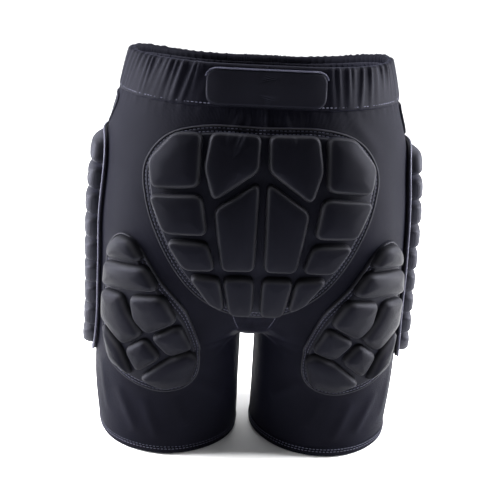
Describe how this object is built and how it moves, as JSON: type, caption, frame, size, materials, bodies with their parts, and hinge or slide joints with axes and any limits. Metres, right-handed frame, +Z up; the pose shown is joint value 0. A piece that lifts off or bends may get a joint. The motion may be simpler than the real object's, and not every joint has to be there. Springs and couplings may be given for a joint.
{
  "type": "padded impact shorts",
  "caption": "Dark stretch shorts with a shield of foam cells over the seat, a leaf of foam cells on each thigh and a ribbed foam pad on each hip.",
  "frame": {"origin": "middle of the waist opening, level with the waistband's top edge at the back", "axes": "+Z up towards the waist, -Y the back of the wearer, +Y the front, +X the wearer's right side"},
  "size_m": [0.4074, 0.2513, 0.4686],
  "materials": {
    "stretch_knit": "matt stretch knit with a faint violet sheen",
    "pad_backing": "matt knit, pressed flat and stitched",
    "foam_cells": "soft foam under knit",
    "smooth_panel": "smooth matt knit",
    "elastic": "woven elastic",
    "lining": "matt knit"
  },
  "bodies": {
    "pelvis": {"waistband_left": "stretch_knit", "waistband_right": "stretch_knit", "waistband_back_panel": "smooth_panel", "waist_elastic": "elastic", "waistband_lining": "lining", "seat_panel_left": "stretch_knit", "seat_panel_right": "stretch_knit", "front_panel_left": "stretch_knit", "front_panel_right": "stretch_knit", "side_patch_left": "stretch_knit", "side_patch_right": "stretch_knit", "hip_pad_backing_left": "pad_backing", "hip_pad_backing_right": "pad_backing", "hip_pad_foam_left": "foam_cells", "hip_pad_foam_right": "foam_cells", "crotch_gusset": "stretch_knit", "seat_pad_backing": "pad_backing", "seat_cell_upper_inner_left": "foam_cells", "seat_cell_upper_inner_right": "foam_cells", "seat_cell_middle_inner_left": "foam_cells", "seat_cell_middle_inner_right": "foam_cells", "seat_cell_lower_inner_left": "foam_cells", "seat_cell_lower_inner_right": "foam_cells", "seat_cell_outer_first_left": "foam_cells", "seat_cell_outer_first_right": "foam_cells", "seat_cell_outer_second_left": "foam_cells", "seat_cell_outer_second_right": "foam_cells", "seat_cell_outer_third_left": "foam_cells", "seat_cell_outer_third_right": "foam_cells", "seat_cell_outer_fourth_left": "foam_cells", "seat_cell_outer_fourth_right": "foam_cells"},
    "left_leg": {"leg_back_panel_left": "stretch_knit", "leg_front_panel_left": "stretch_knit", "hem_band_left": "stretch_knit", "thigh_pad_backing_left": "pad_backing", "thigh_cell_top_left": "foam_cells", "thigh_cell_upper_left": "foam_cells", "thigh_cell_outer_left": "foam_cells", "thigh_cell_inner_left": "foam_cells", "thigh_cell_rear_left": "foam_cells", "thigh_cell_diamond_left": "foam_cells", "thigh_cell_side_left": "foam_cells", "thigh_cell_bottom_left": "foam_cells"},
    "right_leg": {"leg_back_panel_right": "stretch_knit", "leg_front_panel_right": "stretch_knit", "hem_band_right": "stretch_knit", "thigh_pad_backing_right": "pad_backing", "thigh_cell_top_right": "foam_cells", "thigh_cell_upper_right": "foam_cells", "thigh_cell_outer_right": "foam_cells", "thigh_cell_inner_right": "foam_cells", "thigh_cell_rear_right": "foam_cells", "thigh_cell_diamond_right": "foam_cells", "thigh_cell_side_right": "foam_cells", "thigh_cell_bottom_right": "foam_cells"}
  },
  "joints": [
    {"name": "left_hip", "type": "hinge", "parent": "pelvis", "child": "left_leg", "pos_m": [-0.1, 0, -0.27], "axis": [1, 0, 0], "range_deg": [-10, 60], "stiffness_Nm_per_rad": 0.25, "deforming": ["seat_panel_left", "front_panel_left", "hip_pad_backing_left", "hip_pad_foam_left", "crotch_gusset"]},
    {"name": "right_hip", "type": "hinge", "parent": "pelvis", "child": "right_leg", "pos_m": [0.1, 0, -0.27], "axis": [1, 0, 0], "range_deg": [-10, 60], "stiffness_Nm_per_rad": 0.25, "deforming": ["seat_panel_right", "front_panel_right", "hip_pad_backing_right", "hip_pad_foam_right"]}
  ]
}
